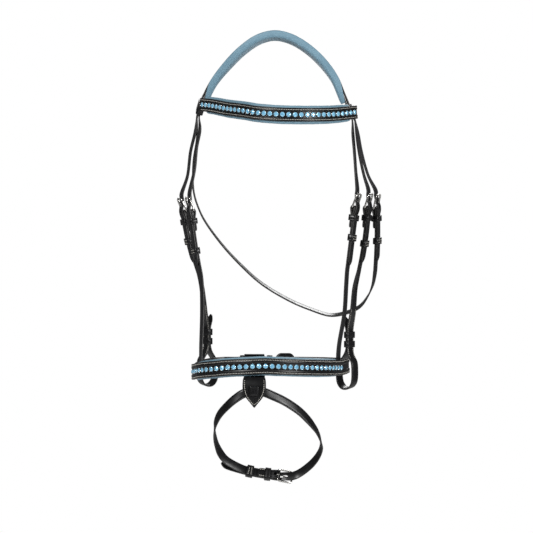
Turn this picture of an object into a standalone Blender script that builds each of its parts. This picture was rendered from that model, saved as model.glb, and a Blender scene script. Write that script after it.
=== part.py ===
"""Snaffle bridle of black leather, with padded poll, browband and noseband and a flash strap.

The model's frame has +Z up and -Y to the front. Its origin is the middle of the poll
padding's underside, where the bridle rests on the horse's head. The numbers below are
millimetres, and add_object turns them into metres.
"""
import math

import bmesh
import bpy
import numpy as np
from mathutils import Vector

MM = 0.001
GAP = 0.35  # left between pieces that touch on the real bridle

STRAP_WIDTH = 13.0
STRAP_THICK = 2.0
WIRE_RADIUS = 1.25
BAR_DEPTH = -3.0  # the hinge bar's place under the strap's outer face
FRAME_RISE = 5.0  # how far the upper bar stands out from the hinge bar
FRAME_LENGTH = 19.0
PRONG_WIDTH = 2.2
PRONG_THICK = 1.0
KEEPER_WALL = 1.5
BILLET_LEVEL = 0.5  # the billet's middle, above the hinge bar's plane
STRAP_LEVEL = -1.85
RETURN_LEVEL = -4.2
RETURN_END = 27.0

CROWN_WIDTH_POLL = 34.0
CROWN_WIDTH_END = 29.0
CROWN_THICK = 2.4
HEADSTRAP_SHIFT = -8.0
LEFT_HANG = (-0.293, 0.268, -0.918)  # the way the crown runs on below its padding, off side
PAD_BASE = 5.0
PAD_GROOVE = 2.7

BROWBAND_HEIGHT = 18.0
LOOP_BEYOND = 5.0
LOOP_HEIGHT = 15.0
LOOP_WALL = 1.8
BROWBAND_PAD_HEIGHT = 24.8
NOSEBAND_HEIGHT = 21.4
NOSEBAND_PAD_HEIGHT = 25.6
BAND_THICK = 3.0
BAND_PAD_THICK = 7.5
CRYSTAL_ROW_HEIGHT = 7.0
CRYSTAL_ROW_THICK = 2.2

FLASH_WIDTH = 12.0
CHIN_WIDTH = 20.0
SHIELD_WIDTH = 31.0
BIT_LOOP_WIDE = 29.0
BIT_LEAN_RIGHT = 4.5
SEAT = 7.0  # the length of the flat where a bit ring rests

UP = Vector((0, 0, 1))
LEATHER = ("leather_black", (0.012, 0.012, 0.014), 0.42, 0.0)
PADDING = ("padding_blue", (0.16, 0.30, 0.41), 0.6, 0.0)
STEEL = ("steel", (0.72, 0.72, 0.70), 0.2, 1.0)
CRYSTAL = ("crystal_blue", (0.19, 0.51, 0.79), 0.1, 0.0)


def material(look):
    name, colour, roughness, metallic = look
    found = bpy.data.materials.get(name)
    if found:
        return found
    made = bpy.data.materials.new(name)
    made.use_nodes = True
    shader = made.node_tree.nodes["Principled BSDF"]
    shader.inputs["Base Color"].default_value = (*colour, 1)
    shader.inputs["Roughness"].default_value = roughness
    shader.inputs["Metallic"].default_value = metallic
    return made


def add_object(name, rings, look, closed=False, origin=(0, 0, 0)):
    """One closed body through rings of points: capped at its two ends, or closed on itself."""
    origin = Vector(origin)
    mesh = bpy.data.meshes.new(name)
    bm = bmesh.new()
    loops = [[bm.verts.new((Vector(p) - origin) * MM) for p in ring] for ring in rings]
    count = len(loops)
    for i in range(count if closed else count - 1):
        a, b = loops[i], loops[(i + 1) % count]
        for k in range(len(a)):
            m = (k + 1) % len(a)
            bm.faces.new((a[k], a[m], b[m], b[k]))
    if not closed:
        bm.faces.new(loops[0][::-1])
        bm.faces.new(loops[-1])
    bmesh.ops.triangulate(bm, faces=bm.faces[:])
    bmesh.ops.recalc_face_normals(bm, faces=bm.faces[:])
    if bm.calc_volume(signed=True) < 0:
        bmesh.ops.reverse_faces(bm, faces=bm.faces[:])
    bm.to_mesh(mesh)
    bm.free()
    mesh.materials.append(material(look))
    made = bpy.data.objects.new(name, mesh)
    made.location = origin * MM
    bpy.context.collection.objects.link(made)
    return made


def cut_box(target, name, frame, low, high):
    """Cuts a box, given in a buckle's own (along, across, out) coordinates, out of target."""
    corners = [
        [frame.at(s, w, n) for w, n in ((low[1], low[2]), (high[1], low[2]),
                                        (high[1], high[2]), (low[1], high[2]))]
        for s in (low[0], high[0])
    ]
    cutter = add_object(name, corners, LEATHER)
    cutter.hide_render = True
    cutter.display_type = "WIRE"
    cut = target.modifiers.new(name, "BOOLEAN")
    cut.operation = "DIFFERENCE"
    cut.solver = "EXACT"
    cut.object = cutter


def spaced(points, count):
    """A Catmull-Rom curve through the rows of points, read at even steps of its length."""
    rows = np.array(points, float)
    ends = np.vstack([2 * rows[0] - rows[1], rows, 2 * rows[-1] - rows[-2]])
    fine = []
    for a, b, c, d in zip(ends, ends[1:], ends[2:], ends[3:]):
        for t in np.linspace(0, 1, 24, endpoint=False):
            fine.append(0.5 * (2 * b + (c - a) * t + (2 * a - 5 * b + 4 * c - d) * t**2
                               + (3 * b - a - 3 * c + d) * t**3))
    fine = np.array([*fine, rows[-1]])
    run = np.concatenate([[0], np.cumsum(np.linalg.norm(np.diff(fine[:, :3], axis=0), axis=1))])
    places = np.linspace(0, run[-1], count)
    return np.stack([np.interp(places, run, fine[:, k]) for k in range(fine.shape[1])], axis=1)


def swept(rows, profile, sizes=None, closed=False):
    """Rings of the profile's (across, out) points along rows of (x, y, z, across x, y, z)."""
    rings = []
    count = len(rows)
    for i, row in enumerate(rows):
        before = rows[i - 1] if closed or i else rows[i]
        after = rows[(i + 1) % count] if closed or i < count - 1 else rows[i]
        tangent = Vector(after[:3] - before[:3]).normalized()
        across = Vector(row[3:6])
        across = (across - tangent * across.dot(tangent)).normalized()
        out = tangent.cross(across)
        scale = sizes[i] if sizes is not None else 1.0
        rings.append([Vector(row[:3]) + across * (w * scale) + out * n for w, n in profile])
    return rings


def flat(width, thick, middle=0.0):
    """A strap's plain section."""
    w, t = width / 2, thick / 2
    return [(-w, middle - t), (w, middle - t), (w, middle + t), (-w, middle + t)]


def cushion(width, thick, middle):
    """A pad's section, with full round edges."""
    w, t = width / 2, thick / 2
    turn = [math.radians(a) for a in (-90, -30, 30, 90)]
    right = [(w - t + t * math.cos(a), middle + t * math.sin(a)) for a in turn]
    return right + [(-x, y) for x, y in reversed(right)]


def with_across(points, across):
    return [(*p, *across) for p in points]


class Frame:
    """A buckle's own coordinates: along the strap away from it, across, and out.

    The strap below the hinge bar may curve: bend is how far its direction turns per mm.
    """

    def __init__(self, hinge, along, across, bend=(0, 0, 0)):
        self.hinge, self.along = Vector(hinge), Vector(along).normalized()
        self.across, self.bend = Vector(across), Vector(bend)

    def axes(self, s):
        along = (self.along + self.bend * max(s, 0)).normalized()
        across = (self.across - along * self.across.dot(along)).normalized()
        return along, across, along.cross(across)

    def at(self, s, w, n):
        _, across, out = self.axes(s)
        middle = self.hinge + self.along * s + self.bend * (max(s, 0) ** 2 / 2)
        return middle + across * w + out * n

    def row(self, s, n):
        return (*self.at(s, 0, n), *self.axes(s)[1])


CHEEK_RIGHT = (0.38, 0.92, 0)
CHEEK_LEFT = (0.38, -0.92, 0)
BUCKLES = {
    "noseband_right": Frame((110.5, -15, -229.5), (-0.125, 0, -1), CHEEK_RIGHT),
    "cheek_right": Frame((128.5, 8, -228.8), (-0.05, 0.06, -1), CHEEK_RIGHT, (-0.0019, 0.001, 0)),
    "throat": Frame((142, 32, -228.9), (0.04, 0.10, -1), CHEEK_RIGHT, (-0.0012, 0, 0)),
    "cheek_left": Frame((-126.5, 40, -233.8), (0.14, 0.06, -1), CHEEK_LEFT, (0.0022, 0.001, 0)),
    "noseband_left": Frame((-115.5, 15, -233.5), (0.1, -0.02, -1), CHEEK_LEFT, (0.0012, 0, 0)),
    "flash": Frame((4, -34, -589.5), (-1, -0.02, 0.08), (0, 0.5, 0.85), (0, -0.0005, 0.004)),
    "chin": Frame((7, 79, -445), (-1, 0, 0), (0, 0, 1)),
}
KEEPER_PLACES = {
    "noseband_right": 36.0, "cheek_right": 44.0, "throat": 40.0, "cheek_left": 36.0,
    "noseband_left": 50.0, "flash": 33.0, "chin": 46.0,
}
KEEPER_LENGTH = 9.0
WIDTHS = {name: STRAP_WIDTH for name in BUCKLES} | {"flash": FLASH_WIDTH, "chin": CHIN_WIDTH}


def buckle_frame(name):
    """A closed wire with round corners, whose lower side is the hinge bar."""
    frame, half = BUCKLES[name], WIDTHS[name] / 2 + 1.0 + WIRE_RADIUS
    slope = Vector((-FRAME_LENGTH, FRAME_RISE)).normalized()
    length = math.hypot(FRAME_LENGTH, FRAME_RISE)
    corner = 3.2
    points = []
    for w, v, start in ((half, 0, -90), (half, length, 0), (-half, length, 90), (-half, 0, 180)):
        middle_w = w - math.copysign(corner, w)
        middle_v = v - corner if v else corner
        for a in (0, 30, 60, 90):
            turn = math.radians(start + a)
            x, y = middle_w + corner * math.cos(turn), middle_v + corner * math.sin(turn)
            points.append(frame.at(slope.x * y, x, BAR_DEPTH + slope.y * y))
    normal = (points[4] - points[0]).cross(points[8] - points[4]).normalized()
    rows = np.array([(*p, *normal) for p in points])
    ring = [(WIRE_RADIUS * math.cos(a), WIRE_RADIUS * math.sin(a))
            for a in (math.radians(60 * k + 30) for k in range(6))]
    origin = frame.at(0, 0, BAR_DEPTH)
    return add_object(f"buckle_frame_{name}", swept(rows, ring, closed=True), STEEL, True, origin)


def buckle_prong(name):
    """A flat prong curled round the hinge bar, whose tip rests on the upper bar."""
    frame = BUCKLES[name]
    eye = WIRE_RADIUS + GAP + PRONG_THICK / 2
    rows = []
    for angle in range(100, 361, 26):
        turn = math.radians(angle)
        rows.append(frame.row(-eye * math.sin(turn), BAR_DEPTH + eye * math.cos(turn)))
    tip = BAR_DEPTH + FRAME_RISE + WIRE_RADIUS + GAP + PRONG_THICK / 2
    for share in (0.5, 1.0, 1.09):
        rows.append(frame.row(-FRAME_LENGTH * share, BAR_DEPTH + eye + share * (tip - BAR_DEPTH - eye)))
    rings = swept(np.array(rows), flat(PRONG_WIDTH, PRONG_THICK))
    return add_object(f"buckle_prong_{name}", rings, STEEL, False, frame.at(0, 0, BAR_DEPTH))


def band_round(name, frame, start, length, width, low, high, wall=KEEPER_WALL):
    """A keeper: a leather band round the space width by low..high, with round corners."""
    rings = []
    half, radius = width / 2, 1.2
    for grow in (0.0, wall):
        outline = []
        for cw, cn, first in ((half, low, -90), (half, high, 0), (-half, high, 90), (-half, low, 180)):
            for a in (10, 80):
                turn = math.radians(first + a)
                mid_w = cw - math.copysign(radius, cw)
                mid_n = cn + radius if cn == low else cn - radius
                reach = radius + grow
                outline.append((mid_w + reach * math.cos(turn), mid_n + reach * math.sin(turn)))
        rings.append(outline)
    inner, outer = rings
    end = start + length
    stations = [(inner, start), (outer, start), (outer, end), (inner, end)]
    points = [[frame.at(s, w, n) for w, n in outline] for outline, s in stations]
    return add_object(name, points, LEATHER, True, frame.at(start + length / 2, 0, (low + high) / 2))


def fixed_keeper(name):
    frame, width = BUCKLES[name], WIDTHS[name] + 1.3
    low, high = RETURN_LEVEL - STRAP_THICK / 2 - 0.5, BILLET_LEVEL + STRAP_THICK / 2 + 0.6
    return band_round(f"fixed_keeper_{name}", frame, 9.5, 8.0, width, low, high)


def sliding_keeper(name):
    frame, width = BUCKLES[name], WIDTHS[name] + 1.3
    room = 0.9 if name == "flash" else 0.6
    low, high = STRAP_LEVEL - STRAP_THICK / 2 - room, BILLET_LEVEL + STRAP_THICK / 2 + room
    start = KEEPER_PLACES[name]
    return band_round(f"sliding_keeper_{name}", frame, start, KEEPER_LENGTH, width, low, high)


def turned_over(frame):
    """Rows of a strap that comes back from its stitched end, round the hinge bar, and leaves."""
    wrap = WIRE_RADIUS + GAP + STRAP_THICK / 2
    rows = [frame.row(RETURN_END, RETURN_LEVEL), frame.row(9, RETURN_LEVEL)]
    rows += [frame.row(4, BAR_DEPTH - wrap + 0.35)]
    for angle in range(180, -1, -30):
        turn = math.radians(angle)
        rows.append(frame.row(-wrap * math.sin(turn), BAR_DEPTH + wrap * math.cos(turn)))
    rows += [frame.row(4, BAR_DEPTH + wrap - 0.35), frame.row(9, STRAP_LEVEL)]
    return rows


def billet_end(frame, tip):
    """Rows of a billet: behind the upper bar, over the hinge bar, and down to its point."""
    rows = [(-24, -1.7), (-18, -1.6), (-12, -0.7), (-8, 0.5), (-4, 1.75), (0, 2.15), (4, 1.75)]
    rows += [(9, BILLET_LEVEL + 0.1), (20, BILLET_LEVEL)]
    rows += [(s, BILLET_LEVEL) for s in range(32, int(tip) - 8, 12)]
    rows += [(tip - 4, BILLET_LEVEL), (tip, BILLET_LEVEL)]
    return [frame.row(s, n) for s, n in rows]


def pointed(count):
    """Width factors of a strap whose last two rows narrow to a point."""
    return [1.0] * (count - 2) + [0.85, 0.3]


def prong_slot(target, name):
    cut_box(target, f"prong_slot_{name}", BUCKLES[name], (-13.5, -1.75, -4), (0.5, 1.75, 6))


def prong_gap(target, name):
    reach = BAR_DEPTH + WIRE_RADIUS + GAP + STRAP_THICK + 1
    cut_box(target, f"prong_gap_{name}", BUCKLES[name], (-6, -2, BAR_DEPTH - 6), (5.5, 2, reach))


CROWN = [  # the padding's underside: place, and direction across the strap
    (-90.3, 34.5, -79.5, -0.1, 0.99, 0), (-81, 29, -62, -0.08, 1, 0), (-62, 19, -39, 0, 1, 0),
    (-40, 8, -18, 0.03, 1, 0), (-19, 2, -4.5, 0.03, 1, 0), (0, 0, 0, 0, 1, 0),
    (20, -2, -4.5, 0, 1, 0), (41, -4, -17, 0, 1, 0), (61, -5, -35.5, 0, 1, 0),
    (77, -5, -57, 0.04, 1, 0), (86, -4, -77, 0.08, 1, 0), (90.5, -3, -88, 0.1, 0.99, 0),
]
CROWN_LEVEL = PAD_BASE + PAD_GROOVE + GAP + CROWN_THICK / 2
HEADSTRAP_LEVEL = PAD_BASE + (PAD_GROOVE + GAP) / 2
CROWN_STEPS = 21
CROWN_BEYOND = 27.0  # the leather's length past each end of the padding
HEADSTRAP_BEYOND = 24.0
CROWN_SPLIT = STRAP_WIDTH / 2 + 0.6  # from the crown's middle to that of each strap


def crown_hang(rows, side):
    """The way the crown runs on below the padding at one side."""
    return Vector(LEFT_HANG) if side == "left" else Vector(rows[-1][:3] - rows[-2][:3]).normalized()


def crown_rows(count, low=0.0, high=0.0):
    """The crown's rows from left to right, made longer at its ends by low and high."""
    rows = spaced(CROWN, count)
    first, last = rows[:1].copy(), rows[-1:].copy()
    first[0, :3] += np.array(crown_hang(rows, "left")) * low
    last[0, :3] += np.array(crown_hang(rows, "right")) * high
    return np.concatenate([first] * (low > 0) + [rows] + [last] * (high > 0))


def crown():
    """Poll padding, crown leather over it, and the noseband's headstrap between them."""
    rows = crown_rows(CROWN_STEPS)
    ends = np.abs(np.linspace(-1, 1, len(rows)))
    half, lip, groove_edge = 21.0, 17.6, -0.8
    top = CROWN_LEVEL + CROWN_THICK / 2
    floor = PAD_BASE + PAD_GROOVE
    profile = [(-half + 3, 0), (half - 3, 0), (half, 3), (half, top - 1.5), (half - 1.5, top),
               (lip, top), (lip, floor), (groove_edge, floor), (groove_edge, PAD_BASE),
               (-lip, PAD_BASE), (-lip, top),
               (-half + 1.5, top), (-half, top - 1.5), (-half, 3)]
    add_object("poll_padding", swept(rows, profile, [1 - 0.12 * e for e in ends]), PADDING)
    long_rows = crown_rows(CROWN_STEPS, CROWN_BEYOND, CROWN_BEYOND)
    widths = [1 - 0.12 * e for e in [1, *ends, 1]]
    add_object("crown_leather",
               swept(long_rows, flat(CROWN_WIDTH_POLL, CROWN_THICK, CROWN_LEVEL), widths), LEATHER)


def offset_row(row, tangent, across_shift, out):
    """A row moved across and out from the crown's own line."""
    tangent = Vector(tangent).normalized()
    across = Vector(row[3:6])
    across = (across - tangent * across.dot(tangent)).normalized()
    place = Vector(row[:3]) + across * across_shift + tangent.cross(across) * out
    return (*place, *across)


def crown_line(across_shift, out, beyond):
    """Rows beside the crown's own line, across it by across_shift and out from its underside."""
    rows = crown_rows(CROWN_STEPS, beyond, beyond)
    made = []
    for i, row in enumerate(rows):
        before, after = rows[max(i - 1, 0)], rows[min(i + 1, len(rows) - 1)]
        made.append(offset_row(row, after[:3] - before[:3], across_shift, out))
    return made


def flipped(rows):
    """The same rows, with the direction across them the other way."""
    return [(*row[:3], *(-value for value in row[3:6])) for row in rows]


def headstrap():
    """The noseband's headstrap: off-side billet, over the poll, near-side billet."""
    over = crown_line(HEADSTRAP_SHIFT, HEADSTRAP_LEVEL, HEADSTRAP_BEYOND)
    left, right = BUCKLES["noseband_left"], BUCKLES["noseband_right"]
    down_left = with_across([(-102.6, 29, -121), (-106.8, 23, -146), (-109.5, 18, -176)], (-0.25, 0.95, 0))
    down_right = with_across([(106.2, -11, -130), (108, -13, -153), (109.8, -14.5, -180)], (0.25, 0.95, 0))
    ends_left = flipped(billet_end(left, 74))[::-1]
    ends_right = billet_end(right, 78)
    rows = ends_left + down_left[::-1] + over + down_right + ends_right
    sizes = [0.3, 0.85] + [1.0] * (len(rows) - 4) + [0.85, 0.3]
    made = add_object("noseband_headstrap",
                      swept(np.array(rows), flat(STRAP_WIDTH, STRAP_THICK), sizes), LEATHER)
    prong_slot(made, "noseband_left")
    prong_slot(made, "noseband_right")


def crown_end(side, shift):
    """The row where a strap that the crown's end divides into begins."""
    line = crown_line(shift, CROWN_LEVEL, CROWN_BEYOND + 3)
    return flipped(line[:1])[0] if side == "left" else line[-1]


def billet(name, node, route, tip):
    side = "left" if name == "cheek_left" else "right"
    shift = CROWN_SPLIT if name == "throat" else -CROWN_SPLIT
    rows = [crown_end(side, shift), *route] + billet_end(BUCKLES[name], tip)
    made = add_object(node, swept(np.array(rows), flat(STRAP_WIDTH, STRAP_THICK), pointed(len(rows))),
                      LEATHER)
    prong_slot(made, name)


def billets():
    """The crown's lower ends, which its cheekpieces and throatlatch buckle to."""
    billet("cheek_left", "cheek_billet_left", with_across(
        [(-109, 32, -123), (-115.5, 35, -150), (-120, 38, -184)], (0.25, -0.96, 0)), 70)
    billet("cheek_right", "cheek_billet_right", with_across(
        [(111.5, -4, -127), (115, 1, -152), (121.8, 5.5, -184)], (0.25, 0.96, 0)), 74)
    billet("throat", "throat_billet", with_across(
        [(114, 13, -127), (119.3, 20, -152), (129, 27, -184)], (0.25, 0.96, 0)), 72)


def cheek_strap(name, node, route, count):
    """A strap that hangs from a buckle: its turned-over end, then a smooth route."""
    frame = BUCKLES[name]
    start = turned_over(frame)
    straight = [frame.row(s, STRAP_LEVEL) for s in (20, 32, 44, 56, 68, 80, 86)]
    free = spaced(straight[-2:] + route, count)
    rows = start + straight[:-2] + [tuple(r) for r in free]
    made = add_object(node, swept(np.array(rows), flat(WIDTHS[name], STRAP_THICK)), LEATHER)
    prong_gap(made, name)
    return made


def bit_loop(top, toward, lean):
    """Rows down the front leg, round the bit's seat, up the back leg and out to the tip.

    Below the keepers the loop leans by lean towards its back leg.
    """
    top, toward = Vector(top), Vector(toward).normalized()
    across = toward.cross(UP)
    wide, lay = BIT_LOOP_WIDE / 2, STRAP_THICK / 2 + GAP / 2
    half = [(-lay, 0), (-lay - 2.5, -8), (-wide + 3, -19), (-wide, -32), (-wide + 0.3, -41),
            (-wide + 1.5, -46.5), (-wide + 3.7, -50.3), (-7.4, -53.4)]
    points = spaced([(*p, 0) for p in half], 11)[:, :2].tolist()
    points += [(-SEAT / 2, -55.2), (SEAT / 2, -55.2)] + [(-u, z) for u, z in reversed(points)]
    points += [(lay, 10), (lay, 26), (lay + 3, 36), (lay + 6, 44)]
    above = [(-lay, 26), (-lay, 12)]
    rows = []
    for u, z in above + points:
        shift = lean * min(max(-z / 32, 0), 1)
        rows.append((*(top + toward * (u + shift) + UP * z), *across))
    return rows


def cheekpiece(name, side, top, toward, lean, route):
    """A cheekpiece from its buckle down to the loop that holds the bit."""
    frame = BUCKLES[name]
    loop = bit_loop(top, toward, lean)
    start = turned_over(frame)
    straight = [frame.row(s, STRAP_LEVEL) for s in (20, 32, 44, 56, 68, 80, 86)]
    free = spaced([*straight[-2:], *route, loop[0], loop[1]], 12)[:-1]
    rows = start + straight[:-2] + [tuple(r) for r in free] + loop[1:]
    sizes = pointed(len(rows))
    made = add_object(f"cheekpiece_{side}", swept(np.array(rows), flat(STRAP_WIDTH, STRAP_THICK), sizes),
                      LEATHER)
    prong_gap(made, name)
    keeper_frame = Frame(Vector(top), (0, 0, 1), loop[-1][3:6])
    for label, start_z in (("lower", 2.0), ("upper", 15.0)):
        band_round(f"bit_keeper_{label}_{side}", keeper_frame, start_z, 9.0, STRAP_WIDTH + 1.3,
                   -STRAP_THICK - GAP / 2 - 0.4, STRAP_THICK + GAP / 2 + 0.4)


BIT_LEFT = (-94, 77, -419.5)
BIT_RIGHT = (104.5, 60, -423)


def straps():
    """The straps that hang from the five cheek buckles."""
    cheekpiece("cheek_left", "left", BIT_LEFT, (0.75, 0.66, 0), 0, [
        (-101.2, 53, -334, 0.45, -0.88, 0), (-98.8, 61, -354, 0.5, -0.85, 0),
        (-97, 69, -376, 0.6, -0.78, 0)])
    cheekpiece("cheek_right", "right", BIT_RIGHT, (-0.71, 0.70, 0), BIT_LEAN_RIGHT, [
        (111, 33, -338, 0.5, 0.86, 0), (108.7, 46, -370, 0.6, 0.8, 0)])
    cheek_strap("noseband_left", "noseband_cheek_left", [
        (-99.2, 11, -336, 0.38, -0.92, 0), (-98.5, 7, -370, 0.38, -0.92, 0),
        (-100, 1, -420, 0.3, -0.95, 0), (-100.2, -2, -440, 0.25, -0.97, 0),
        (-100.2, -2, -461, 0.25, -0.97, 0)], 14)
    cheek_strap("noseband_right", "noseband_cheek_right", [
        (96.8, -12, -337, 0.38, 0.92, 0), (94.8, -7, -372, 0.38, 0.92, 0),
        (88, 3, -415, 0.38, 0.92, 0), (86.9, 9, -436, 0.4, 0.9, 0),
        (86.9, 9, -456, 0.4, 0.9, 0)], 14)
    cheek_strap("throat", "throatlatch", [
        (136.5, 50, -334, 0.25, 0.95, 0.1), (130.5, 59, -349, 0.1, 0.97, 0.2),
        (119, 69, -364.5, 0, 0.96, 0.28), (98, 79, -374, 0, 0.96, 0.28),
        (78, 82, -376.5, 0, 0.96, 0.28), (50, 81, -368, 0, 0.96, 0.28),
        (20, 79, -355, 0, 0.96, 0.28), (-18, 75, -332, 0, 0.96, 0.28),
        (-46, 70, -307, 0, 0.96, 0.25), (-72, 64, -279, 0, 0.97, 0.2),
        (-95.5, 57, -247, 0, 0.98, 0.15), (-103.8, 55, -231, 0, 0.99, 0.1),
        (-111.6, 52, -206, 0.03, 1, 0.05),
        (-112.4, 51, -165, 0, 1, 0), (-107, 48, -130, 0.05, 1, 0),
        flipped([crown_end("left", CROWN_SPLIT)])[0]], 36)


BROWBAND = [
    (-101, 13.4, -87.2), (-95.5, 5.5, -88.4), (-86, -7, -90.4), (-76, -19.5, -93.2),
    (-64, -34.5, -96.7), (-52.4, -49, -99.3), (-40.1, -62, -101.9), (-26.4, -73, -105),
    (-10.2, -80.5, -107), (8, -84.5, -108.4), (26.6, -84.5, -108.8), (45, -79, -108.5),
    (62, -69.5, -107.6), (77, -58.5, -106.3), (89, -48, -104.6), (99, -38, -102.8),
    (106, -30, -101.4), (110.3, -24.8, -100.6),
]
NOSEBAND = [
    (-112, 14, -452.5), (-110.7, -0.6, -451.9), (-107.2, -17.6, -450.3), (-101.5, -33.4, -448.2),
    (-91.9, -47.7, -446.3), (-78.2, -58.6, -444.5), (-62.8, -66.8, -442.6), (-46.8, -73.2, -441.5),
    (-30, -77, -440.6), (-13.1, -77.6, -440.1), (3.5, -74.7, -440.8), (19.3, -68.9, -441.6),
    (34.9, -60.9, -442.5), (49.2, -50.8, -443.4), (62.1, -39, -444.3), (74.2, -25.5, -445),
    (83.6, -10.5, -445.7), (91, 5.2, -446.2), (97, 18, -445.5), (101.9, 31, -444.2),
]


def inside(rows, first, last):
    """The rows between two shares of the whole run."""
    count = len(rows)
    return rows[int(first * count):int(last * count)]


def bands():
    """Browband and noseband: leather, the pad behind it and the row of crystals on it."""
    pad_middle = BAND_THICK / 2 + GAP + BAND_PAD_THICK / 2
    row_middle = BAND_THICK / 2 + GAP + CRYSTAL_ROW_THICK / 2
    for name, route, height, pad_height, pad, row in (
        ("browband", BROWBAND, BROWBAND_HEIGHT, BROWBAND_PAD_HEIGHT, (0.04, 0.965), (0.03, 0.97)),
        ("noseband", NOSEBAND, NOSEBAND_HEIGHT, NOSEBAND_PAD_HEIGHT, (0.085, 0.89), (0.04, 0.92)),
    ):
        rows = spaced(with_across(route, (0, 0, 1)), 37)
        add_object(f"{name}_leather", swept(rows, flat(height, BAND_THICK)), LEATHER)
        add_object(f"{name}_padding", swept(inside(rows, *pad),
                                            cushion(pad_height, BAND_PAD_THICK, -pad_middle)), PADDING)
        add_object(f"{name}_crystals", swept(inside(rows, *row),
                                             flat(CRYSTAL_ROW_HEIGHT, CRYSTAL_ROW_THICK, row_middle)),
                   CRYSTAL)


def browband_loops():
    """The folded ends of the browband, round the crown and the straps beside it."""
    rows = crown_rows(CROWN_STEPS)
    for side, end, sign in (("left", 0, -1), ("right", -1, 1)):
        frame = Frame(rows[end][:3], crown_hang(rows, side), Vector(rows[end][3:6]) * sign)
        low = HEADSTRAP_LEVEL - STRAP_THICK / 2 - 0.7
        high = CROWN_LEVEL + CROWN_THICK / 2 + 0.7
        band_round(f"browband_loop_{side}", frame, LOOP_BEYOND, LOOP_HEIGHT,
                   CROWN_WIDTH_END + 4.4, low, high, LOOP_WALL)


def noseband_back():
    """The two chin straps behind the jaw, and the leather guard under their buckle."""
    frame = BUCKLES["chin"]
    left = with_across([(-88, 66, -446), (-101, 49, -448), (-106.6, 31, -450), (-109.2, 14, -451.5),
                        (-108.4, 5, -451.8)], UP)
    start = turned_over(frame) + [frame.row(s, STRAP_LEVEL) for s in (20, 44, 60)]
    free = spaced([frame.row(68, STRAP_LEVEL), frame.row(76, STRAP_LEVEL)] + left, 11)
    rows = np.array(start + [tuple(r) for r in free])
    made = add_object("chin_strap_left", swept(rows, flat(CHIN_WIDTH, STRAP_THICK)), LEATHER)
    prong_gap(made, "chin")
    right = with_across([(96.1, 27, -444.5), (95, 40, -444.6), (86, 54, -445), (68, 67, -445),
                         (46, 75, -445)], UP)
    billet_rows = billet_end(frame, 66)
    rows = [tuple(r) for r in spaced(right + billet_rows[:1], 12)[:-1]] + billet_rows
    made = add_object("chin_strap_right",
                      swept(np.array(rows), flat(CHIN_WIDTH, STRAP_THICK), pointed(len(rows))), LEATHER)
    prong_slot(made, "chin")
    guard = Frame(frame.at(-8, 0, -9.2), (0, 0, 1), (-1, 0, 0))
    heights = [(-15, 0.55), (-12, 0.85), (-7, 1), (0, 1), (7, 1), (12, 0.85), (15.5, 0.5)]
    rows = np.array([guard.row(z, 0) for z, _ in heights])
    add_object("chin_buckle_guard", swept(rows, flat(28, 2.4), [w for _, w in heights]), LEATHER)


FLASH_ROUTE = [  # from the left of the buckle, up over the nose, and down to the billet
    (-57, -40.5, -573, 0.3, 0.55, 0.78), (-66, -43.5, -566.5, 0.47, 0.62, 0.62),
    (-72.6, -47, -557.5, 0.56, 0.7, 0.43), (-77.6, -51, -545.3, 0.38, 0.92, 0.12),
    (-79.7, -56, -534.2, 0.2, 0.98, 0), (-80, -60, -525.8, 0, 1, 0),
    (-78.6, -64.5, -516.5, -0.32, 0.95, 0.1), (-73.1, -71, -504.4, -0.5, 0.75, 0.35),
    (-63, -77, -492.7, -0.5, 0.62, 0.6), (-52.4, -80.5, -483.2, -0.4, 0.4, 0.8),
    (-41.2, -82.5, -476, -0.2, 0.15, 0.97), (-27, -83, -472.5, 0, 0.05, 1),
    (-14.8, -82.5, -474, 0.2, 0.15, 0.97), (-3.6, -80, -478.6, 0.35, 0.3, 0.88),
    (10.9, -76, -485.5, 0.4, 0.43, 0.8), (23.5, -71.5, -493.4, 0.48, 0.5, 0.72),
    (33.5, -67.5, -501, 0.49, 0.6, 0.62), (42.8, -63.5, -510.3, 0.51, 0.7, 0.5),
    (50.2, -60, -519.2, 0.42, 0.84, 0.34), (56.3, -56.5, -528.1, 0.28, 0.94, 0.17),
    (61, -52, -539.5, 0.1, 1, 0), (62.3, -48.5, -549.5, -0.25, 0.97, 0.05),
    (58.5, -45, -560.5, -0.42, 0.87, 0.25), (50.5, -41, -571.6, -0.45, 0.73, 0.5),
    (39.5, -37.3, -581.5, -0.3, 0.62, 0.72), (30, -35, -587.6, -0.1, 0.55, 0.82),
]
TUNNEL = (-27, -83, -472.5)


def flash_strap():
    """One strap that goes round through the shield's tunnel and back to its own buckle."""
    frame = BUCKLES["flash"]
    start = turned_over(frame) + [frame.row(20, STRAP_LEVEL), frame.row(40, STRAP_LEVEL)]
    ends = billet_end(frame, 76)[1:]
    free = spaced([frame.row(40, STRAP_LEVEL), frame.row(46, STRAP_LEVEL), *FLASH_ROUTE, ends[0]], 46)
    rows = np.array(start + [tuple(r) for r in free[1:-1]] + ends)
    made = add_object("flash_strap", swept(rows, flat(FLASH_WIDTH, STRAP_THICK), pointed(len(rows))),
                      LEATHER, False, TUNNEL)
    prong_gap(made, "flash")
    prong_slot(made, "flash")


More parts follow.
